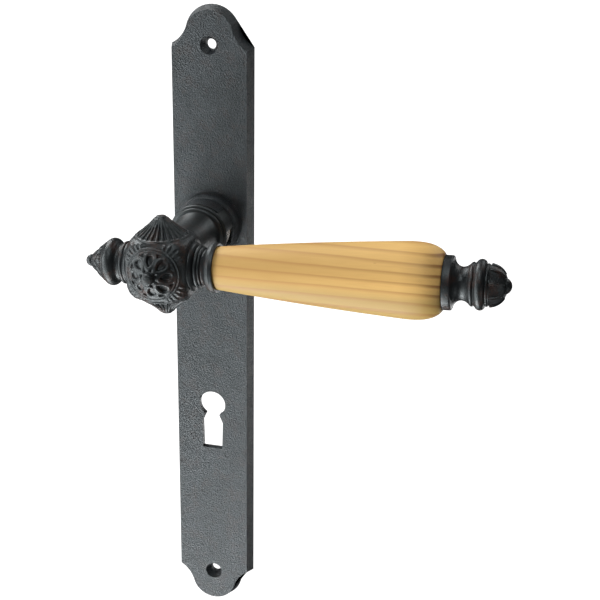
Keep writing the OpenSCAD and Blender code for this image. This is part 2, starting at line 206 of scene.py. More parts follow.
# ---------------------------------------------------------------- finishes


def cast_iron(name, deep, worn, dull, stipple, stipple_depth, lump_depth, brown):
    """Blackened sand-cast iron: a leathery stipple over slow lumps, a little paler on its crests."""
    fixed = {"Metallic": 0.0, "IOR": 1.5, "Specular IOR Level": 0.5, "Specular Tint": IRON_GLOSS}
    finish = Finish(name, fixed)
    place = finish.place()
    patches = finish.noise(place, PATCH_SCALE, 3, 0.6)
    skin = finish.noise(place, 1 / stipple, 3, 0.62, 0.4)
    pebble = finish.cells(place, 0.8 / stipple)
    crest = finish.ramp(skin, 0.42, 0.66)
    colour = finish.mix(finish.ramp(patches, 0.35, 0.7) * 0.5 + crest * 0.5, deep, worn)
    rust_noise = finish.noise(place, RUST_SCALE, 3, 0.6)
    rust = finish.ramp(rust_noise, 0.48, 0.64) * finish.ramp(crest, 0.8, 0.2)
    colour = finish.mix(rust * brown, colour, IRON_BROWN)
    rough = dull + 0.16 * patches - 0.1 * crest
    lumps = finish.noise(place, LUMP_SCALE, 2)
    height = skin * 0.75 + pebble * 0.45
    relief = finish.bump(lumps, lump_depth)
    relief = finish.bump(height, stipple_depth, relief)
    return finish.feed(Base_Color=colour, Roughness=rough, Normal=relief)


def pine(name):
    """Oiled pine, its growth rings run along the grip. Painted shade makes it darker below, and painted light
    makes it paler towards its far end.
    """
    finish = Finish(name, {"Metallic": 0.0, "IOR": 1.46, "Specular IOR Level": 0.25})
    place = finish.place()
    centre = (-GRIP.start * math.cos(REST_RISE), LEVER_OUT, -GRIP.start * math.sin(REST_RISE))
    moved = finish.node("ShaderNodeMapping", None, {"Vector": place, "Location": centre})
    turned = finish.node("ShaderNodeMapping", None, {"Vector": moved, "Rotation": (0, REST_RISE, 0)})
    drawn = finish.stretched(turned, (0.16, 1, 1))
    parts = finish.node("ShaderNodeSeparateXYZ", None, {"Vector": turned})
    along = Wire(finish, parts.out.node.outputs[0])
    depth = Wire(finish, parts.out.node.outputs[1])
    up = Wire(finish, parts.out.node.outputs[2])
    sway = finish.noise(drawn, 60, 2, 0.5)
    away = up + RING_SLOPE * along + RING_LEAN * depth + RING_START
    rings = (away + RING_SWAY * sway) / RING_SPACING
    phase = finish.node("ShaderNodeMath", {"operation": "FRACT"}, {0: rings})
    late = finish.ramp(phase, 0.5, 0.78) * finish.ramp(phase, 1.0, 0.88)
    edge = finish.ramp(phase, 0.72, 0.84) * finish.ramp(phase, 0.98, 0.9)
    near_end = finish.ramp(along, GRIP.length - 0.009, GRIP.length + 0.001, 0.0, 1.0)
    fibre = finish.noise(finish.stretched(turned, (0.04, 1, 1)), FIBRE_SCALE, 2)
    blotch = finish.noise(drawn, 120, 2)
    fleck_noise = finish.noise(finish.stretched(turned, (0.35, 1, 1)), FLECK_SCALE, 1)
    fleck = finish.ramp(fleck_noise, 0.76, 0.82)
    early = finish.mix(finish.ramp(blotch, 0.3, 0.7), PINE_PALE, PINE_WARM)
    # Painted light: the early wood turns paler along the grip towards its far end.
    early = finish.mix(finish.ramp(along, 0.02, GRIP.length) * 0.5, early, PINE_FAR_PAINTED_LIGHT)
    colour = finish.mix(late * 0.6, early, PINE_BAND)
    strength = finish.ramp(finish.noise(drawn, 40, 1), 0.3, 0.65, 0.08, 0.32)
    colour = finish.mix(edge * strength, colour, PINE_EDGE)
    colour = finish.mix(late * near_end * 0.75, colour, PINE_DARK)
    colour = finish.mix(finish.ramp(fibre, 0.35, 0.75) * 0.18, colour, PINE_BAND)
    colour = finish.mix(fleck * 0.5, colour, PINE_EDGE)
    # Painted shade: the grip's lower side takes darker colours.
    painted_shade_below = finish.mix(late, PAINTED_SHADE_PINE, PAINTED_SHADE_PINE_BAND)
    colour = finish.mix(finish.ramp(up, 0.003, -0.006) * 0.85, colour, painted_shade_below)
    rough = 0.5 + 0.1 * fibre - 0.06 * late
    grain = finish.bump(fibre * 0.5 + late * 0.5, 0.00003)
    return finish.feed(Base_Color=colour, Roughness=rough, Normal=grain)


def bright_steel(name, colour, dull):
    """Drawn steel with fine rubbing marks and a little grey oil film."""
    finish = Finish(name, {"Metallic": 1.0})
    place = finish.place()
    film = finish.noise(place, 300, 3)
    marks = finish.noise(finish.stretched(place, (1, 0.08, 1)), 2600, 2)
    shade = finish.mix(finish.ramp(film, 0.3, 0.8), colour, tuple(c * 0.72 for c in colour))
    rough = dull + 0.14 * film + 0.08 * marks
    return finish.feed(Base_Color=shade, Roughness=rough, Normal=finish.bump(marks, 0.00001))


def oiled_bronze(name):
    """Turned bronze, browned where the oil has stood."""
    finish = Finish(name, {"Metallic": 1.0})
    place = finish.place()
    stain = finish.noise(place, 220, 4, 0.6)
    rings = finish.noise(finish.stretched(place, (0.1, 1, 0.1)), 3000, 2)
    shade = finish.mix(finish.ramp(stain, 0.35, 0.7), (0.52, 0.33, 0.13), (0.24, 0.13, 0.05))
    rough = 0.3 + 0.2 * stain
    return finish.feed(Base_Color=shade, Roughness=rough, Normal=finish.bump(rings, 0.00001))


def pressed_fibre(name):
    """Dark red-brown vulcanised fibre, slightly mottled."""
    finish = Finish(name, {"Metallic": 0.0, "IOR": 1.45})
    place = finish.place()
    mottle = finish.noise(place, 900, 4, 0.7)
    shade = finish.mix(mottle, (0.035, 0.012, 0.008), (0.075, 0.03, 0.02))
    rough = 0.6 + 0.2 * mottle
    return finish.feed(Base_Color=shade, Roughness=rough, Normal=finish.bump(mottle, 0.00003))


# ---------------------------------------------------------------- measures


class Span:
    """A turned part of the lever, measured from its CAD node along the lever's own axis."""

    def __init__(self, node):
        flat = unturned(node)
        self.start = float(flat[:, 0].min())
        self.end = float(flat[:, 0].max())
        self.length = self.end - self.start
        self.radius = float(np.hypot(flat[:, 2], flat[:, 1]).max())


def node_points(node):
    return np.array([v.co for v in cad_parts[node].data.vertices], float)


def unturned(node):
    """A node's points in the lever's own directions, with the origin on the lever's axis."""
    p = node_points(node)
    c, s = math.cos(REST_RISE), math.sin(REST_RISE)
    return np.stack([p[:, 0] * c + p[:, 2] * s, p[:, 1] + LEVER_OUT, p[:, 2] * c - p[:, 0] * s], 1)


def middle(node, axis):
    low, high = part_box(node)
    return (low[axis] + high[axis]) / 2


LEVER_OUT = -middle("wood_grip", 1)
GRIP = Span("wood_grip")
FERRULE = Span("ferrule")
END = Span("end_finial")
BACK = Span("back_finial")
CUP_LOW, CUP_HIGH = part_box("spring_cup")

# Distances out of the door.
PLATE_FRONT = -CUP_HIGH[1]
COLLAR_TOP = PLATE_FRONT + 7.2 * MM
CUP_RIM = -CUP_LOW[1]
CUP_R = -CUP_LOW[0]
CUP_WALL = 1.2 * MM
CUP_FLOOR = PLATE_FRONT + CUP_WALL
FLANGE_BACK = CUP_RIM + 0.3 * MM
BEAD = 1.9 * MM
FLANGE_FRONT = FLANGE_BACK + 2 * BEAD
FLANGE_R = CUP_R - 0.1 * MM
NECK_R = 9.2 * MM
FLARE_R = NECK_R + 1.6 * MM
TRUMPET = 14 * MM
JOURNAL_R = 8 * MM
JOURNAL_END = 0.3 * MM

# The hub's block, and what stands on it.
HUB_X = 27 * MM
HUB_Y = HUB_X - 2 * MM
HUB_Z = HUB_X - 1 * MM
HUB_BALL = math.hypot(HUB_X / 2, 9.65 * MM)
HUB_BACK = LEVER_OUT - HUB_Y / 2
CONE_R = 10.7 * MM
CONE_TIP = HUB_Z / 2 + 8 * MM
TIP_R = 2.4 * MM
ROSETTE_R = 10.2 * MM
ROSETTE_TIP = HUB_Y / 2 + 8.5 * MM
RIBS = 26
PETALS = 8
CONE_BASE = HUB_Z / 2 - 0.5 * MM
FACE = HUB_Y / 2

# The grip's small end, its far end and the round shoulder between.
GRIP_NECK_R = 8.75 * MM
GRIP_END_R = 11.1 * MM
SHOULDER = 13.6 * MM

# The end finial's bud, and the tip of the back finial's cone.
BUD_LEAVES = 8
BUD_LONG = 6.9 * MM
BUD_WIDE = 7.3 * MM
BUD_BLUNT = 0.85
BACK_TIP_R = 2.3 * MM

# The stop lug in the cup's window, and the spring beside it, in degrees about the spindle.
LUG = (8.6, 49.6)
SPRING_START = 130
SPRING_TURNS = 4.5
WIRE_R = 0.5 * MM
SPRING_R = CUP_R - CUP_WALL - 0.15 * MM - WIRE_R
SPRING_LOW = CUP_FLOOR + WIRE_R + 0.15 * MM
SPRING_HIGH = FLANGE_BACK - WIRE_R - 0.15 * MM
SPRING_LEG = 2.4 * MM

# The iron's colours, and how close its patches lie, as noise scales per metre.
IRON_BROWN = (0.045, 0.018, 0.011)
IRON_GLOSS = (0.86, 0.97, 1.0, 1)
PATCH_SCALE = 70
RUST_SCALE = 150
LUMP_SCALE = 260

# The growth rings: their spacing, how they lie to the grip's axis, and how far they wander.
RING_SPACING = 4.15 * MM
RING_START = 0.1
RING_SLOPE = 0.03
RING_LEAN = 0.3
RING_SWAY = 2.8 * MM
FIBRE_SCALE = 1500
FLECK_SCALE = 520
PINE_PALE = (0.65, 0.415, 0.142)
# The next colour is painted light, a paler tone for the grip's far end.
PINE_FAR_PAINTED_LIGHT = (0.95, 0.60, 0.205)
# The next two colours are painted shade for the grip's lower side.
PAINTED_SHADE_PINE = (0.33, 0.225, 0.07)
PAINTED_SHADE_PINE_BAND = (0.31, 0.185, 0.06)
PINE_WARM = (0.61, 0.375, 0.126)
PINE_BAND = (0.565, 0.32, 0.108)
PINE_EDGE = (0.46, 0.22, 0.082)
PINE_DARK = (0.26, 0.092, 0.038)


# ---------------------------------------------------------------- shapes

# A shape is (points, faces): an array of points and a list of index lists.


def along_lever(p):
    """From the lever's own directions to the frame's."""
    c, s = math.cos(REST_RISE), math.sin(REST_RISE)
    return np.stack([p[:, 0] * c - p[:, 2] * s, p[:, 1] - LEVER_OUT, p[:, 0] * s + p[:, 2] * c], 1)


def turned(p):
    """From a lathe's directions, its axis last, to the lever's own."""
    return np.stack([p[:, 2], p[:, 0], p[:, 1]], 1)


def outward(p):
    """From a lathe's directions to a part whose axis stands out of the door."""
    return np.stack([p[:, 0], -p[:, 2], p[:, 1]], 1)


def placed(shape, *moves):
    points, faces = shape
    for move in moves:
        points = move(points)
    return points, faces


def upside_down(p):
    return p * np.array([1.0, 1.0, -1.0])


def together(*shapes):
    points, faces, start = [], [], 0
    for p, f in shapes:
        points.append(p)
        faces += [[i + start for i in face] for face in f]
        start += len(p)
    return np.concatenate(points), faces


def skin_rings(rings, closed=False):
    """Faces between rings of point indices. A ring of one point is a pole."""
    faces = []
    pairs = list(zip(rings, rings[1:] + rings[:1])) if closed else list(zip(rings, rings[1:]))
    for a, b in pairs:
        n = max(len(a), len(b))
        for i in range(n):
            j = (i + 1) % n
            if len(a) == 1:
                faces.append([a[0], b[i], b[j]])
            elif len(b) == 1:
                faces.append([a[i], b[0], a[j]])
            else:
                faces.append([a[i], b[i], b[j], a[j]])
    return faces


def lathe(outline, turns=160, relief=None):
    """A turned solid. outline is (station, radius) from one end of its axis to the other."""
    angles = np.arange(turns) * 2 * math.pi / turns
    points, rings = [], []
    for station, radius in outline:
        start = len(points)
        if radius < TINY:
            points.append((0.0, 0.0, station))
            rings.append([start])
            continue
        r = np.full(turns, radius)
        if relief is not None:
            r = r + relief(station, angles)
        points += list(zip(r * np.cos(angles), r * np.sin(angles), np.full(turns, station)))
        rings.append(list(range(start, start + turns)))
    return np.array(points), skin_rings(rings)


def eased(corners, round_by, steps=5):
    """An outline with each inner corner rounded; round_by is one radius or one for each corner."""
    radii = [round_by] * len(corners) if np.isscalar(round_by) else list(round_by)
    out = [tuple(corners[0])]
    for i in range(1, len(corners) - 1):
        here = np.array(corners[i], float)
        before = np.array(corners[i - 1], float) - here
        after = np.array(corners[i + 1], float) - here
        room = 0.48 * min(np.linalg.norm(before), np.linalg.norm(after))
        cut = min(radii[i], room)
        a = here + before / max(np.linalg.norm(before), TINY) * cut
        b = here + after / max(np.linalg.norm(after), TINY) * cut
        for t in np.linspace(0, 1, steps):
            out.append(tuple((1 - t) ** 2 * a + 2 * t * (1 - t) * here + t * t * b))
    out.append(tuple(corners[-1]))
    return out


def bend(centre, radius, start, end, steps=10):
    """An arc of an outline: angles in degrees from the axis' direction."""
    return [
        (centre[0] + radius * math.cos(math.radians(a)), centre[1] + radius * math.sin(math.radians(a)))
        for a in np.linspace(start, end, steps)
    ]


def tube(path, wide, tall, normal, sides=10, loop=False):
    """A rounded strand along path. wide is its half width, tall its half height along normal."""
    path = np.array(path, float)
    normal = np.broadcast_to(np.array(normal, float), path.shape)
    if loop:
        ahead = np.roll(path, -1, 0) - np.roll(path, 1, 0)
    else:
        ahead = np.gradient(path, axis=0)
    ahead /= np.linalg.norm(ahead, axis=1, keepdims=True)
    side = np.cross(ahead, normal)
    side /= np.linalg.norm(side, axis=1, keepdims=True)
    up = np.cross(side, ahead)
    wide = np.broadcast_to(wide, len(path))
    tall = np.broadcast_to(tall, len(path))
    points, rings = [], []
    for i in range(len(path)):
        start = len(points)
        for k in range(sides):
            a = 2 * math.pi * k / sides
            points.append(path[i] + math.cos(a) * wide[i] * side[i] + math.sin(a) * tall[i] * up[i])
        rings.append(list(range(start, start + sides)))
    if not loop:
        points += [path[0] - ahead[0] * wide[0] * 0.5, path[-1] + ahead[-1] * wide[-1] * 0.5]
        rings = [[len(points) - 2]] + rings + [[len(points) - 1]]
    return np.array(points), skin_rings(rings, closed=loop)


def circle_path(radius, station, steps=96):
    """Points of a circle about the lathe's axis, for a tube to follow."""
    angles = np.linspace(0, 2 * math.pi, steps, endpoint=False)
    return [(radius * math.cos(a), radius * math.sin(a), station) for a in angles]


def spun(p, turn):
    """Points turned about the lathe's axis."""
    c, s = math.cos(turn), math.sin(turn)
    return np.stack([p[:, 0] * c - p[:, 1] * s, p[:, 0] * s + p[:, 1] * c, p[:, 2]], 1)


def ball(radius, steps):
    arc = np.linspace(0, math.pi, steps)
    return lathe([(radius * -math.cos(a), radius * math.sin(a)) for a in arc], 24)


def wedge_block(inner, outer, low, high, start, end, steps=14):
    """A block between two radii and two angles about the axis."""
    points, rings = [], []
    for a in np.radians(np.linspace(low, high, steps)):
        first = len(points)
        for r, s in ((inner, start), (outer, start), (outer, end), (inner, end)):
            points.append((r * math.cos(a), r * math.sin(a), s))
        rings.append(list(range(first, first + 4)))
    faces = skin_rings(rings)
    faces += [rings[0][::-1], rings[-1]]
    return np.array(points), faces


# ---------------------------------------------------------------- objects


def as_mesh(name, shape):
    points, faces = shape
    mesh = bpy.data.meshes.new(name)
    mesh.from_pydata(points.tolist(), [], faces)
    return tidy_mesh(mesh)


def tidy_mesh(mesh):
    """Doubles merged and faces turned outwards."""
    work = bmesh.new()
    work.from_mesh(mesh)
    bmesh.ops.remove_doubles(work, verts=work.verts, dist=0.5e-6)
    bmesh.ops.recalc_face_normals(work, faces=work.faces)
    work.to_mesh(mesh)
    work.free()
    return mesh


def as_object(name, mesh):
    made = bpy.data.objects.new(name, mesh)
    bpy.context.scene.collection.objects.link(made)
    return made


def settle(name, made):
    """A plain mesh from an object with its modifiers; the object is removed."""
    bpy.context.view_layer.update()
    ready = made.evaluated_get(bpy.context.evaluated_depsgraph_get())
    mesh = bpy.data.meshes.new_from_object(ready)
    mesh.name = name
    bpy.data.objects.remove(made)
    return mesh


def smooth(mesh, crease=38):
    """Smooth shading, kept crisp along edges sharper than crease degrees."""
    mesh.shade_smooth()
    mesh.set_sharp_from_angle(angle=math.radians(crease))
    return mesh


def shape_of(mesh):
    points = np.zeros(len(mesh.vertices) * 3)
    mesh.vertices.foreach_get("co", points)
    return points.reshape(-1, 3), [list(p.vertices) for p in mesh.polygons]


def finished(name, mesh, body, material, stands_for=()):
    """A piece of the handle, in place, with its finish, riding on its body."""
    mesh.materials.clear()
    mesh.materials.append(material)
    mesh.polygons.foreach_set("material_index", [0] * len(mesh.polygons))
    made = as_object(name, mesh)
    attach(made, body)
    if stands_for:
        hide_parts(*stands_for)
    return made


# ---------------------------------------------------------------- geometry nodes

INPUT_KINDS = {int: "NodeSocketInt", float: "NodeSocketFloat", bpy.types.Material: "NodeSocketMaterial"}


def new_tree(name, inputs):
    """An empty Geometry Nodes tree with its named inputs, ready to fill."""
    tree = bpy.data.node_groups.new(name, "GeometryNodeTree")
    face = tree.interface
    face.new_socket("Geometry", in_out="INPUT", socket_type="NodeSocketGeometry")
    for label, kind in inputs.items():
        face.new_socket(label, in_out="INPUT", socket_type=INPUT_KINDS[kind])
    face.new_socket("Geometry", in_out="OUTPUT", socket_type="NodeSocketGeometry")
    graph = Graph(tree)
    first = graph.node("NodeGroupInput").out.node
    given = {s.name: Wire(graph, s) for s in first.outputs if s.name}
    return graph, given


def close_tree(graph, geometry, material):
    geometry = graph.node("GeometryNodeRealizeInstances", None, {"Geometry": geometry})
    geometry = graph.node("GeometryNodeSetMaterial", None, {"Geometry": geometry, "Material": material})
    last = graph.tree.nodes.new("NodeGroupOutput")
    graph.tree.links.new(geometry.out, last.inputs[0])
    return graph.tree


def grow(name, mesh, tree, **given):
    """The plain mesh that a tree makes of a mesh, with the tree's inputs set by name."""
    made = as_object(name, mesh)
    modifier = made.modifiers.new("grow", "NODES")
    modifier.node_group = tree
    for item in tree.interface.items_tree:
        if item.in_out == "INPUT" and item.name in given:
            modifier[item.identifier] = given[item.name]
    return settle(name, made)


def ring_tree():
    """Copies of the given mesh, turned evenly about its Z axis."""
    graph, given = new_tree("ring_of_copies", {"Count": int, "Material": bpy.types.Material})
    points = graph.node("GeometryNodeMeshLine", None, {"Count": given["Count"], "Offset": (0, 0, 0)})
    index = graph.node("GeometryNodeInputIndex")
    angle = index * (2 * math.pi) / given["Count"]
    turn = graph.node("ShaderNodeCombineXYZ", None, {"Z": angle})
    values = {"Points": points, "Instance": given["Geometry"], "Rotation": turn}
    copies = graph.node("GeometryNodeInstanceOnPoints", None, values)
    return close_tree(graph, copies, given["Material"])


def wire_tree():
    """A round wire along the given mesh's edges."""
    inputs = {"Wire radius": float, "Sides": int, "Material": bpy.types.Material}
    graph, given = new_tree("wire_on_path", inputs)
    path = graph.node("GeometryNodeMeshToCurve", None, {"Mesh": given["Geometry"]})
    section_values = {"Resolution": given["Sides"], "Radius": given["Wire radius"]}
    section = graph.node("GeometryNodeCurvePrimitiveCircle", None, section_values)
    skin_values = {"Curve": path, "Profile Curve": section, "Fill Caps": True}
    skin = graph.node("GeometryNodeCurveToMesh", None, skin_values)
    return close_tree(graph, skin, given["Material"])


def skin_tree():
    """Pushes a casting's surface in and out by two sizes of lump, the finer by its own weight."""
    inputs = {"Lump size": float, "Lump height": float, "Grit size": float, "Grit height": float}
    graph, given = new_tree("cast_skin", inputs | {"Material": bpy.types.Material})
    weight = graph.node("GeometryNodeInputNamedAttribute", {"data_type": "FLOAT"}, {"Name": "grit"})
    lump_values = {"Scale": given["Lump size"] ** -1, "Detail": 1.0}
    lump = graph.node("ShaderNodeTexNoise", None, lump_values)
    grit = graph.node("ShaderNodeTexNoise", None, {"Scale": given["Grit size"] ** -1, "Detail": 2.0})
    push = (lump - 0.5) * given["Lump height"] + (grit - 0.5) * given["Grit height"] * weight
    normal = graph.node("GeometryNodeInputNormal")
    offset = graph.node("ShaderNodeVectorMath", {"operation": "SCALE"}, {0: normal, "Scale": push})
    moved = graph.node("GeometryNodeSetPosition", None, {"Geometry": given["Geometry"], "Offset": offset})
    return close_tree(graph, moved, given["Material"])


RING = ring_tree()
WIRE = wire_tree()
SKIN = skin_tree()


def copies_round(shape, count, material):
    """A shape repeated evenly about its axis."""
    mesh = grow("copies", as_mesh("copies", shape), RING, Count=count, Material=material)
    return shape_of(mesh)


# ---------------------------------------------------------------- plate and cup


def eased_copy(name, node, width, crease):
    """A copy of a CAD node with its outer edges broken, as a fettled casting has them."""
    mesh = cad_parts[node].data.copy()
    work = bmesh.new()
    work.from_mesh(mesh)
    bmesh.ops.remove_doubles(work, verts=work.verts, dist=2e-6)
    bmesh.ops.dissolve_limit(work, angle_limit=math.radians(0.6), verts=work.verts, edges=work.edges)
    work.to_mesh(mesh)
    work.free()
    made = as_object(name, mesh)
    bevel = made.modifiers.new("ease", "BEVEL")
    bevel.width = width
    bevel.segments = 3
    bevel.limit_method = "ANGLE"
    bevel.angle_limit = math.radians(crease)
    bevel.miter_outer = "MITER_ARC"
    made.modifiers.new("flat", "TRIANGULATE")
    ready = settle(name, made)
    ready.shade_smooth()
    flat = as_object(name, ready)
    weigh = flat.modifiers.new("weigh", "WEIGHTED_NORMAL")
    weigh.keep_sharp = True
    weigh.weight = 80
    return settle(name, flat)


def make_plate():
    mesh = eased_copy("plate", "backplate", 0.35 * MM, 28)
    finished("plate", mesh, "plate", PLATE_IRON, ["backplate"])
    mesh = eased_copy("cup", "spring_cup", 0.22 * MM, 40)
    finished("cup", mesh, "plate", PLATE_IRON, ["spring_cup"])


def make_spring():
    """The wire starts in the collar, winds inside the cup and ends in the lever's flange."""
    turns = np.arange(0, SPRING_TURNS * 360 + 1, 6)
    share = turns / turns[-1]
    angle = np.radians(SPRING_START - turns)
    station = SPRING_LOW + (SPRING_HIGH - SPRING_LOW) * share
    coil = np.stack([SPRING_R * np.cos(angle), SPRING_R * np.sin(angle), station], 1)
    leg = np.array([0, 0, SPRING_LEG])
    foot = coil[0] - leg
    head = coil[-1] + leg
    path = np.concatenate([[foot, (foot + coil[0]) / 2], coil, [(head + coil[-1]) / 2, head]])
    path = outward(path)
    mesh = bpy.data.meshes.new("spring_path")
    mesh.from_pydata(path.tolist(), [(i, i + 1) for i in range(len(path) - 1)], [])
    given = {"Wire radius": WIRE_R, "Sides": 14, "Material": SPRING_STEEL}
    mesh = smooth(tidy_mesh(grow("spring", mesh, WIRE, **given)), 60)
    mesh.materials.clear()
    mesh.materials.append(SPRING_STEEL)
    made = as_object("spring", mesh)
    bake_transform(made)
    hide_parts("return_spring")


# ---------------------------------------------------------------- lever casting


def neck_outline():
    """From the journal in the bush, out over the two flange beads, down the trumpet to the hub."""
    ease = 0.25 * MM
    bead_r = BEAD / 2
    out = [(JOURNAL_END, 0)]
    journal = [
        (JOURNAL_END, 0), (JOURNAL_END, JOURNAL_R), (FLANGE_BACK, JOURNAL_R),
        (FLANGE_BACK, FLANGE_R - bead_r * 0.9),
    ]
    out += eased(journal, ease)[1:-1]
    out += bend((FLANGE_BACK + bead_r, FLANGE_R - bead_r), bead_r, 172, 12, 14)
    inner = FLANGE_R - bead_r - 1.0 * MM
    out += bend((FLANGE_BACK + 3 * bead_r, inner), bead_r, 150, 8, 14)
    start = FLANGE_FRONT + 0.15 * MM
    drop = FLARE_R - NECK_R
    for u in np.linspace(0, 1, 22):
        out.append((start + TRUMPET * u, NECK_R + drop * (1 - u) ** 2.2))
    swell = HUB_BACK - 1.4 * MM
    for u in np.linspace(0, 1, 8):
        out.append((swell + 3.4 * MM * u, NECK_R + 1.2 * MM * u * u))
    out.append((HUB_BACK + 4 * MM, 0))
    return out


def make_neck():
    lug = wedge_block(
        CUP_R - CUP_WALL + 0.1 * MM, CUP_R - 0.1 * MM, LUG[0], LUG[1],
        COLLAR_TOP + 0.3 * MM, FLANGE_BACK + 0.6 * MM,
    )
    shape = together(placed(lathe(neck_outline(), 192), outward), placed(lug, outward))
    mesh = smooth(as_mesh("neck", shape), 50)
    finished("neck", mesh, "lever", NECK_IRON)


def block_radius(directions):
    """How far the hub's rounded block reaches from its centre, along each direction."""
    d = directions / np.linalg.norm(directions, axis=1, keepdims=True)
    power = 9.0
    halves = np.array([HUB_X, HUB_Y, HUB_Z]) / 2
    box = (np.abs(d / halves) ** power).sum(1) ** (-1 / power)
    soft = 16.0
    return (box ** -soft + (HUB_BALL + 1.9 * MM) ** -soft) ** (-1 / soft), d


def hub_block(steps=26):
    """The block, as six grids pushed out onto it."""
    shapes = []
    grid = np.tan(np.linspace(-1, 1, steps) * math.pi / 4)
    u, v = np.meshgrid(grid, grid, indexing="ij")
    faces = []
    for i in range(steps - 1):
        for j in range(steps - 1):
            a = i * steps + j
            faces.append([a, a + steps, a + steps + 1, a + 1])
    for axis in range(3):
        for side in (-1.0, 1.0):
            d = np.zeros((steps * steps, 3))
            d[:, axis] = side
            d[:, (axis + 1) % 3] = u.ravel()
            d[:, (axis + 2) % 3] = v.ravel()
            reach, unit = block_radius(d)
            shapes.append((unit * reach[:, None], faces))
    return together(*shapes)


def cone_side(u):
    """The cone's side at a share u from its rim to its tip, as (radius, station)."""
    rim = (CONE_R - 0.7 * MM, CONE_BASE + 0.9 * MM)
    top = (TIP_R + 0.35 * MM, CONE_TIP - 1.0 * MM)
    hollow = 0.25 * MM * math.sin(math.pi * u)
    return rim[0] + (top[0] - rim[0]) * u - hollow, rim[1] + (top[1] - rim[1]) * u - hollow


def fluted_cone():
    """A limpet: a thin base rim, a core, and ribs that run up to the flat tip."""
    side = [cone_side(u) for u in np.linspace(0, 1, 10)]
    sunk = 0.35 * MM
    outline = [(CONE_BASE - 2 * MM, 0), (CONE_BASE - 2 * MM, CONE_R - 0.4 * MM)]
    outline += [(CONE_BASE + 0.2 * MM, CONE_R - 0.4 * MM)]
    outline += [(station - sunk, radius - sunk * 0.6) for radius, station in side]
    flat = CONE_TIP - 0.1 * MM
    outline += [(CONE_TIP - 0.7 * MM, TIP_R), (flat, TIP_R - 0.5 * MM), (flat, 0)]
    core = lathe(outline, 96)
    rim_path = circle_path(CONE_R, CONE_BASE + 0.35 * MM)
    rim = tube(rim_path, 0.7 * MM, 0.5 * MM, (0, 0, 1), 8, loop=True)
    shares = np.linspace(0, 1, 12)
    path = [(cone_side(u)[0], 0, cone_side(u)[1]) for u in shares]
    wide = (0.6 - 0.36 * shares) * MM
    tall = (0.6 - 0.35 * shares) * MM
    rib = tube(path, wide, tall, (0.6, 0, 0.8), 8)
    return together(core, rim, copies_round(rib, RIBS, LEVER_IRON))


def rosette_petal():
    """One petal: a fat rim that leans up the dome, wider at its foot."""
    middle_at = np.array([6.1 * MM, 0, FACE + 2.75 * MM])
    slope = np.array([-4.7, 0, 3.4])
    slope /= np.linalg.norm(slope)
    across = np.array([0, 1.0, 0])
    loop = []
    for a in np.linspace(0, 2 * math.pi, 28, endpoint=False):
        width = (2.15 - 0.7 * math.cos(a)) * MM
        loop.append(middle_at + slope * 3.2 * MM * math.cos(a) + across * width * math.sin(a))
    normal = np.cross(slope, across)
    facing = 1 if normal[2] > 0 else -1
    return tube(loop, 1.0 * MM, 1.0 * MM, normal * facing, 8, loop=True)


def rosette_button():
    outline = [
        (ROSETTE_TIP - 3.2 * MM, 0), (ROSETTE_TIP - 3.2 * MM, 1.8 * MM),
        (ROSETTE_TIP - 2.4 * MM, 2.5 * MM), (ROSETTE_TIP - 0.35 * MM, 2.45 * MM), (ROSETTE_TIP, 0),
    ]
    return lathe(eased(outline, 0.9 * MM), 48)


def rosette():
    """Two fine rings, eight dished petals up a low dome, and a button on its stem."""
    dome = [
        (FACE - 3 * MM, 0), (FACE - 3 * MM, ROSETTE_R - 0.4 * MM), (FACE + 0.3 * MM, ROSETTE_R - 0.4 * MM),
        (FACE + 0.95 * MM, ROSETTE_R - 1.3 * MM), (FACE + 2.25 * MM, 6.2 * MM), (FACE + 3.6 * MM, 4.4 * MM),
        (FACE + 4.6 * MM, 3.4 * MM), (FACE + 5.4 * MM, 2.4 * MM), (ROSETTE_TIP - 2 * MM, 2.2 * MM),
        (ROSETTE_TIP - 2 * MM, 0),
    ]

    def ring(radius, station, thick):
        return tube(circle_path(radius, station), thick, thick, (0, 0, 1), 10, loop=True)

    return together(
        lathe(dome, 96),
        ring(ROSETTE_R - 0.5 * MM, FACE + 0.75 * MM, 0.55 * MM),
        ring(ROSETTE_R + 0.75 * MM, FACE + 0.1 * MM, 0.4 * MM),
        copies_round(rosette_petal(), PETALS, LEVER_IRON),
        rosette_button(),
    )


def corner_leaves():
    """Short leaf strokes that fan over the block's corners, beside the rosette and behind."""
    shapes = []
    for facing in (-1.0, 1.0):
        for quarter in range(4):
            for k in np.linspace(-21, 21, 6):
                a = math.radians(45 + 90 * quarter + k)
                reach = np.linspace(11.6, 17.5 - abs(k) * 0.09, 7) * MM
                d = np.stack([reach * math.cos(a), np.full(7, facing * HUB_Y / 2), reach * math.sin(a)], 1)
                r, unit = block_radius(d)
                path = unit * r[:, None]
                taper = np.array([0.35, 0.62, 0.72, 0.7, 0.6, 0.42, 0.22]) * MM
                shapes.append(tube(path, taper, taper * 0.5, unit, 6))
    return together(*shapes)


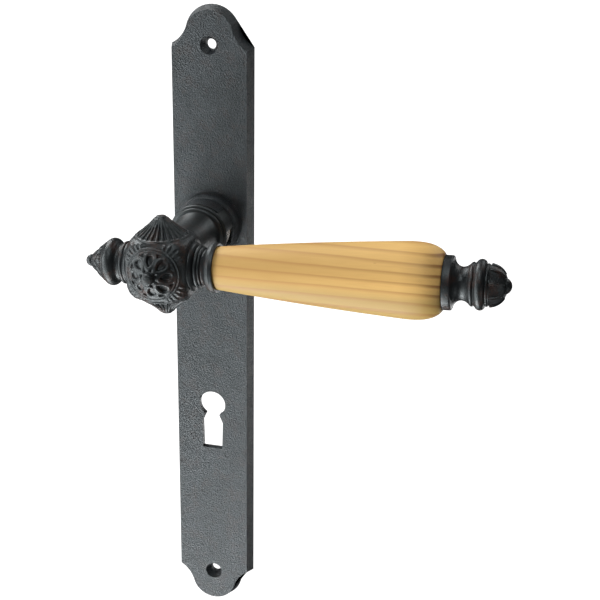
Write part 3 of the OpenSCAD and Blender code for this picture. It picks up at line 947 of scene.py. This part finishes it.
def make_hub():
    """The hub's pieces are melted into one casting, then given a cast skin."""
    front = placed(rosette(), outward)
    cone = fluted_cone()
    rough = together(hub_block(), corner_leaves(), cone, placed(cone, upside_down), front)
    made = as_object("hub", as_mesh("hub", rough))
    melt = made.modifiers.new("melt", "REMESH")
    melt.mode = "VOXEL"
    melt.voxel_size = 0.27 * MM
    soften = made.modifiers.new("soften", "SMOOTH")
    soften.factor = 0.5
    soften.iterations = 2
    mesh = settle("hub", made)
    points, _ = shape_of(mesh)
    corner = np.clip((np.linalg.norm(points, axis=1) / MM - 14.0) / 1.4, 0, 1)
    clear = np.minimum(np.abs(points[:, 0]), np.abs(points[:, 2])) > 6.5 * MM
    grit = mesh.attributes.new("grit", "FLOAT", "POINT")
    grit.data.foreach_set("value", (0.12 + 0.88 * corner * clear).astype(np.float32))
    given = {"Lump size": 4.5 * MM, "Lump height": 0.45 * MM, "Grit size": 1.1 * MM, "Grit height": 0.45 * MM}
    mesh = grow("hub", mesh, SKIN, Material=LEVER_IRON, **given)
    points, _ = shape_of(mesh)
    mesh.vertices.foreach_set("co", along_lever(points).astype(np.float32).ravel())
    mesh.update()
    mesh.shade_smooth()
    finished("hub", mesh, "lever", LEVER_IRON, ["lever_hub"])
    bead = HUB_X / 2 - 0.6 * MM
    outline = [(bead - 4 * MM, 0), (bead - 4 * MM, 8.3 * MM)]
    outline += bend((bead, 8.5 * MM), 1.7 * MM, 170, 14, 16)
    outline += [(FERRULE.start + 0.2 * MM, 8.3 * MM), (FERRULE.start + 0.2 * MM, 0)]
    mesh = smooth(as_mesh("hub_bead", placed(lathe(outline), turned, along_lever)))
    finished("hub_bead", mesh, "lever", LEVER_IRON)


# ---------------------------------------------------------------- ferrule, grip and finials


def make_ferrule():
    """Two fine rings, a cove and a flared cup that holds the grip."""
    start, length, lip = FERRULE.start, FERRULE.length, FERRULE.radius

    def at(share):
        return start + share * length

    outline = [(start, 0)]
    outline += eased([(start, 0), (start, 7.4 * MM), (at(0.03), 7.9 * MM)], 0.2 * MM)[1:]
    outline += bend((at(0.12), 8.15 * MM), 0.75 * MM, 150, 20, 9)
    outline += bend((at(0.27), 7.7 * MM), 0.55 * MM, 150, 15, 9)
    cove = [
        (at(0.36), 7.35 * MM), (at(0.42), 7.4 * MM), (at(0.5), 7.9 * MM), (at(0.56), 8.7 * MM),
        (at(0.62), 9.5 * MM), (at(0.7), 10.05 * MM),
    ]
    outline += eased(cove, 0.5 * MM, 4)
    outline += bend((at(0.84), lip - 0.55 * MM), 0.55 * MM, 125, 60, 6)
    inner = GRIP_NECK_R + 0.3 * MM
    mouth = [
        (at(0.9), lip - 0.1 * MM), (at(1), lip - 0.3 * MM), (at(1), inner),
        (at(0.9), inner), (at(0.9), 0),
    ]
    outline += eased(mouth, 0.25 * MM)
    mesh = smooth(as_mesh("ferrule", placed(lathe(outline), turned, along_lever)))
    finished("ferrule", mesh, "lever", LEVER_IRON, ["ferrule"])


def make_grip():
    """The turned grip: a slow swell, then a round shoulder down to the end finial."""
    fat = GRIP.radius
    taper = GRIP.length - SHOULDER
    outline = [(GRIP.start, 0), (GRIP.start, GRIP_NECK_R - 0.25 * MM)]
    for u in np.linspace(0.003, 1, 60):
        outline.append((GRIP.start + taper * u, GRIP_NECK_R + (fat - GRIP_NECK_R) * (u + 0.28 * u * (1 - u))))
    for u in np.sin(np.linspace(0.05, math.pi / 2, 26)):
        swell = (1 - u ** 3) ** 0.75 if u < 1 else 0
        outline.append((GRIP.start + taper + SHOULDER * u, GRIP_END_R + (fat - GRIP_END_R) * swell))
    outline.append((GRIP.end, 0))
    mesh = smooth(as_mesh("grip", placed(lathe(outline, 192), turned, along_lever)), 45)
    finished("grip", mesh, "lever", PINE, ["wood_grip"])


def make_end_finial():
    """A flat disc, a cove, a ring, a fat bead, a fine ring, and a bud with a ball on its tip."""
    start = END.start

    def at(mm):
        return start + mm * MM

    def bud_relief(station, angles):
        share = np.clip((station - at(17.9)) / (6.4 * MM), 0, 1)
        depth = 0.75 * MM * math.sin(math.pi * min(1.0, share * 1.05 + 0.03)) ** 0.7 if 0 < share < 1 else 0
        return -depth * np.abs(np.cos(angles * BUD_LEAVES / 2)) ** 0.8

    outline = [(at(0), 0)]
    disc = [(at(0), 0), (at(0), END.radius), (at(3.4), END.radius), (at(3.7), 9.6 * MM)]
    outline += eased(disc, [0, 0.3 * MM, 0.6 * MM, 0])[1:]
    cove = [(at(3.75), 9.3 * MM), (at(4.3), 8.2 * MM), (at(5.4), 7.1 * MM), (at(6.6), 6.62 * MM)]
    cove += [(at(7.6), 6.62 * MM), (at(8.8), 7.0 * MM), (at(9.8), 7.75 * MM), (at(10.3), 8.3 * MM)]
    outline += eased(cove, 0.8 * MM, 4)
    outline += bend((at(11.1), 7.95 * MM), 0.8 * MM, 140, 30, 8)
    outline += bend((at(14.3), 7.95 * MM), 2.1 * MM, 152, 35, 18)
    outline += bend((at(16.9), 7.75 * MM), 0.72 * MM, 140, 10, 9)
    bud = at(17.7)
    for a in np.linspace(0, 68, 26):
        reach = math.radians(a)
        side = 0.6 * MM + BUD_WIDE * math.cos(reach) ** BUD_BLUNT
        outline.append((bud + BUD_LONG * math.sin(reach), side))
    tip = END.end - 3.4 * MM
    outline += bend((tip, 0), 3.4 * MM, 118, 0, 18)[:-1]
    outline.append((END.end, 0))
    rings = together(lathe(outline, 208, bud_relief), copies_round(bud_rib(bud), BUD_LEAVES, LEVER_IRON))
    mesh = smooth(as_mesh("end_finial", placed(rings, turned, along_lever)), 40)
    finished("end_finial", mesh, "lever", LEVER_IRON, ["end_finial"])


def bud_rib(bud):
    """The raised edge between two of the bud's leaves."""
    path = []
    for a in np.radians(np.linspace(3, 60, 12)):
        side = 0.55 * MM + BUD_WIDE * math.cos(a) ** BUD_BLUNT
        path.append((side, 0, bud + BUD_LONG * math.sin(a)))
    wide = np.linspace(0.8, 0.3, 12) * MM
    points, faces = tube(path, wide, wide * 1.05, (1, 0, 0.6), 8)
    return spun(points, math.pi / BUD_LEAVES), faces


def make_back_finial():
    """A short neck, a fat ring, and a leafy cone to a rounded tip."""
    seat = -BACK.end
    reach = -BACK.start
    ring_at = seat + 8.3 * MM
    fat = BACK.radius
    disc = 8.9 * MM
    outline = [(seat - 1 * MM, 0), (seat - 1 * MM, disc - 0.4 * MM)]
    outline += bend((seat + 0.5 * MM, disc - 0.8 * MM), 0.8 * MM, 150, 30, 8)
    outline += bend((seat + 2.6 * MM, disc - 0.9 * MM), 0.9 * MM, 150, 20, 8)
    outline += [(seat + 3.9 * MM, disc - 1.2 * MM), (seat + 5.0 * MM, disc - 1.35 * MM)]
    outline += bend((ring_at, fat - 2.75 * MM), 2.75 * MM, 160, 38, 24)
    lip = (ring_at + 2.75 * MM, fat - 1.4 * MM)
    outline += [lip, (lip[0] + 0.7 * MM, lip[1] - 0.5 * MM)]
    cone_start = (ring_at + 3.6 * MM, fat - 2.6 * MM)
    tip = reach - 2.7 * MM
    for u in np.linspace(0, 1, 16):
        station = cone_start[0] + (tip - cone_start[0]) * u
        outline.append((station, cone_start[1] + (BACK_TIP_R - cone_start[1]) * u))
    outline += bend((tip + 0.2 * MM, 0), 2.5 * MM, 88, 0, 12)[:-1]
    outline.append((tip + 2.7 * MM, 0))
    leaves = copies_round(cone_leaf(cone_start, (tip, BACK_TIP_R)), 9, LEVER_IRON)
    shape = together(lathe(outline, 160), leaves)
    flip = placed(shape, upside_down, turned, along_lever)
    mesh = smooth(as_mesh("back_finial", flip), 45)
    finished("back_finial", mesh, "lever", LEVER_IRON, ["back_finial"])


def cone_leaf(low, high):
    """Two leaves, a broad one below and a narrow one above it in the gap."""
    shapes = []
    for first, last, wide, turn in ((0.04, 0.55, 1.5, 0.0), (0.4, 0.92, 0.95, math.pi / 9)):
        shares = np.linspace(first, last, 8)
        radii = low[1] + (high[1] - low[1]) * shares
        path = np.stack([radii, 0 * shares, low[0] + (high[0] - low[0]) * shares], 1)
        body = np.sin(np.linspace(0.5, math.pi - 0.25, 8)) ** 0.7 * wide * MM
        points, faces = tube(path, body, body * 0.42, (0.7, 0, 0.7), 8)
        shapes.append((spun(points, turn), faces))
    return together(*shapes)


# ---------------------------------------------------------------- inner parts


def finish_inner_parts():
    """The parts that keep their CAD shape get their real finishes."""
    wanted = {
        "neck_bush": BRONZE,
        "grip_washer": FIBRE,
        "thrust_washer": PLAIN_STEEL,
        "retaining_ring": PLAIN_STEEL,
        "spindle": PLAIN_STEEL,
        "grub_screw": PLAIN_STEEL,
        "tie_rod": PLAIN_STEEL,
        "lock_washer": PLAIN_STEEL,
    }
    for node, material in wanted.items():
        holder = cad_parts[node]
        if not holder.material_slots:
            holder.data.materials.append(material)
        for place in holder.material_slots:
            place.link = "OBJECT"
            place.material = material


# ---------------------------------------------------------------- studio


WORLD_LIGHT = 0.02
SURROUND_R = 6.0
SURROUND_GLOW = 1.3
LAMP_SIZE = 0.5
LAMPS_FACE = Vector((0.05, -0.03, -0.03))

# Each lamp's name, its place and its power.
LIGHTS = (
    ("low_front", (-0.25, -0.72, -0.62), 3.2),
    ("side_left", (-0.6, -0.35, -0.45), 4.2),
    ("far_left", (-0.75, -0.3, 0.1), 5.2),
    ("high", (0.1, -0.5, 0.8), 3.6),
    ("below", (-0.2, -0.25, -0.95), 11.0),
    ("front_left", (-0.5, -0.75, -0.15), 1.8),
    ("back_left", (-0.5, 0.3, 0.6), 6.9),
    ("right", (0.8, -0.3, -0.4), 0.8),
    ("behind", (0.3, 0.9, -0.45), 2.2),
    ("high_behind", (0.5, 0.7, 0.6), 2.0),
)


def area_light(name, at, power):
    """A soft square lamp that faces the handle. The camera doesn't see it."""
    data = bpy.data.lights.new(name, "AREA")
    data.shape = "SQUARE"
    data.size = LAMP_SIZE
    data.energy = power
    made = bpy.data.objects.new(name, data)
    made.location = at
    made.visible_camera = False
    towards = LAMPS_FACE - Vector(at)
    made.rotation_mode = "QUATERNION"
    made.rotation_quaternion = towards.to_track_quat("-Z", "Y")
    bpy.context.scene.collection.objects.link(made)


def set_studio():
    """Soft lamps inside a wide white surround, which only the camera sees. There is no floor."""
    scene = bpy.context.scene
    scene.view_settings.view_transform = "Standard"
    world = bpy.data.worlds.new("studio")
    scene.world = world
    world.use_nodes = True
    sky = world.node_tree.nodes["Background"]
    sky.inputs["Color"].default_value = (1, 1, 1, 1)
    sky.inputs["Strength"].default_value = WORLD_LIGHT
    paint = Finish("surround", {"Base Color": (0, 0, 0, 1), "Roughness": 1.0, "Specular IOR Level": 0.0})
    paint.shader.inputs["Emission Color"].default_value = (1, 1, 1, 1)
    paint.shader.inputs["Emission Strength"].default_value = SURROUND_GLOW
    mesh = as_mesh("surround", ball(SURROUND_R, 24))
    mesh.materials.append(paint.material)
    surround = as_object("surround", mesh)
    surround.visible_diffuse = False
    surround.visible_glossy = False
    surround.visible_shadow = False
    for name, at, power in LIGHTS:
        area_light(name, at, power)


# ---------------------------------------------------------------- the handle

PLATE_IRON = cast_iron(
    "plate_iron", deep=(0.008, 0.0095, 0.011), worn=(0.03, 0.034, 0.039), dull=0.33,
    stipple=0.5 * MM, stipple_depth=0.6 * MM, lump_depth=0.05 * MM, brown=0.25,
)
LEVER_IRON = cast_iron(
    "lever_iron", deep=(0.007, 0.0075, 0.008), worn=(0.018, 0.02, 0.0215), dull=0.37,
    stipple=0.5 * MM, stipple_depth=0.12 * MM, lump_depth=0.1 * MM, brown=0.7,
)
NECK_IRON = cast_iron(
    "neck_iron", deep=(0.008, 0.009, 0.0092), worn=(0.014, 0.0155, 0.016), dull=0.38,
    stipple=1.2 * MM, stipple_depth=0.012 * MM, lump_depth=0.03 * MM, brown=0.3,
)
PINE = pine("pine")
SPRING_STEEL = bright_steel("spring_steel", (0.86, 0.82, 0.76), 0.16)
PLAIN_STEEL = bright_steel("plain_steel", (0.6, 0.6, 0.59), 0.28)
BRONZE = oiled_bronze("bronze")
FIBRE = pressed_fibre("fibre")

set_camera()
make_plate()
make_spring()
make_neck()
make_hub()
make_ferrule()
make_grip()
make_end_finial()
make_back_finial()
finish_inner_parts()
set_studio()
